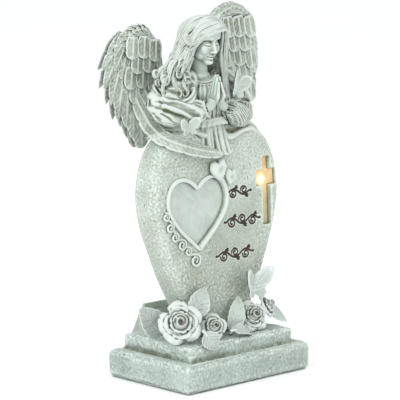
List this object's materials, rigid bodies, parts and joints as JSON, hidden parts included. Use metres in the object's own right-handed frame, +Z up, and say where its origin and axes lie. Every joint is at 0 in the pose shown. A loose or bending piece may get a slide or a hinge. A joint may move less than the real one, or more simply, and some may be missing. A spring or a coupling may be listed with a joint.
{
  "type": "angel_figurine",
  "caption": "Cast-resin praying angel over a leaning heart stone with a heart photo frame, an amber solar-lit cross, roses, leaves and butterflies on a two-step plinth.",
  "frame": {"origin": "centre of the plinth's flat underside", "axes": "+Z up, +X to the right seen from the front, the front faces -Y"},
  "size_m": [0.17, 0.1134, 0.304],
  "materials": {
    "stone": "rough cast resin, weathered-stone look with a brown antique wash in the recesses",
    "pale_resin": "smooth cast resin, pale stone paint, antique wash in the creases",
    "insert": "pale brushed insert card",
    "amber": "translucent amber diffuser",
    "grey_plastic": "satin moulded plastic",
    "dark_plastic": "matte moulded plastic",
    "solar_blue": "dark blue crystalline cell",
    "clear_cover": "clear resin cover",
    "steel": "plated steel",
    "board_green": "solder-masked board",
    "cell_green": "shrink-wrapped rechargeable cell",
    "led_resin": "clear warm-white LED resin",
    "wire_red": "thin insulated twin lead"
  },
  "bodies": {
    "base": {"plinth": "stone", "heart_stone": "stone", "dress_skirt": "stone", "angel_torso": "stone", "sleeve_left": "stone", "sleeve_right": "stone", "wing_left": "stone", "wing_right": "stone", "wing_feather_left": "stone", "photo_frame": "pale_resin", "scroll_trim": "pale_resin", "small_heart_front": "pale_resin", "small_heart_back": "pale_resin", "praying_hand_left": "pale_resin", "praying_hand_right": "pale_resin", "angel_head": "pale_resin", "rose_large": "pale_resin", "rose_middle": "pale_resin", "rose_right": "pale_resin", "rose_end": "pale_resin", "leaf_far_left": "pale_resin", "leaf_upper": "pale_resin", "leaf_between": "pale_resin", "leaf_over_edge": "pale_resin", "leaf_low": "pale_resin", "leaf_right": "pale_resin", "butterfly_left_sleeve": "pale_resin", "butterfly_right_sleeve": "pale_resin", "butterfly_roses": "pale_resin", "cross_window": "amber", "lamp_cover": "grey_plastic", "solar_housing": "grey_plastic", "housing_plug": "grey_plastic", "led": "led_resin", "led_holder": "dark_plastic", "lamp_wire": "wire_red", "solar_cell": "solar_blue", "solar_glass": "clear_cover", "battery": "cell_green", "battery_contact": "steel", "battery_spring": "steel", "circuit_board": "board_green", "switch_body": "dark_plastic", "cover_screw_low": "steel", "cover_screw_high": "steel"},
    "insert": {"photo_insert": "insert"},
    "door": {"battery_door": "grey_plastic", "door_screw": "steel"},
    "knob": {"switch_knob": "dark_plastic"}
  },
  "joints": [
    {"name": "insert_lift", "type": "slide", "parent": "base", "child": "insert", "axis": [0, -0.9988, 0.048], "range_m": [0, 0.03]},
    {"name": "door_lift", "type": "slide", "parent": "base", "child": "door", "axis": [0, 1, 0], "range_m": [0, 0.02]},
    {"name": "switch_slide", "type": "slide", "parent": "base", "child": "knob", "axis": [1, 0, 0], "range_m": [0, 0.003]}
  ]
}
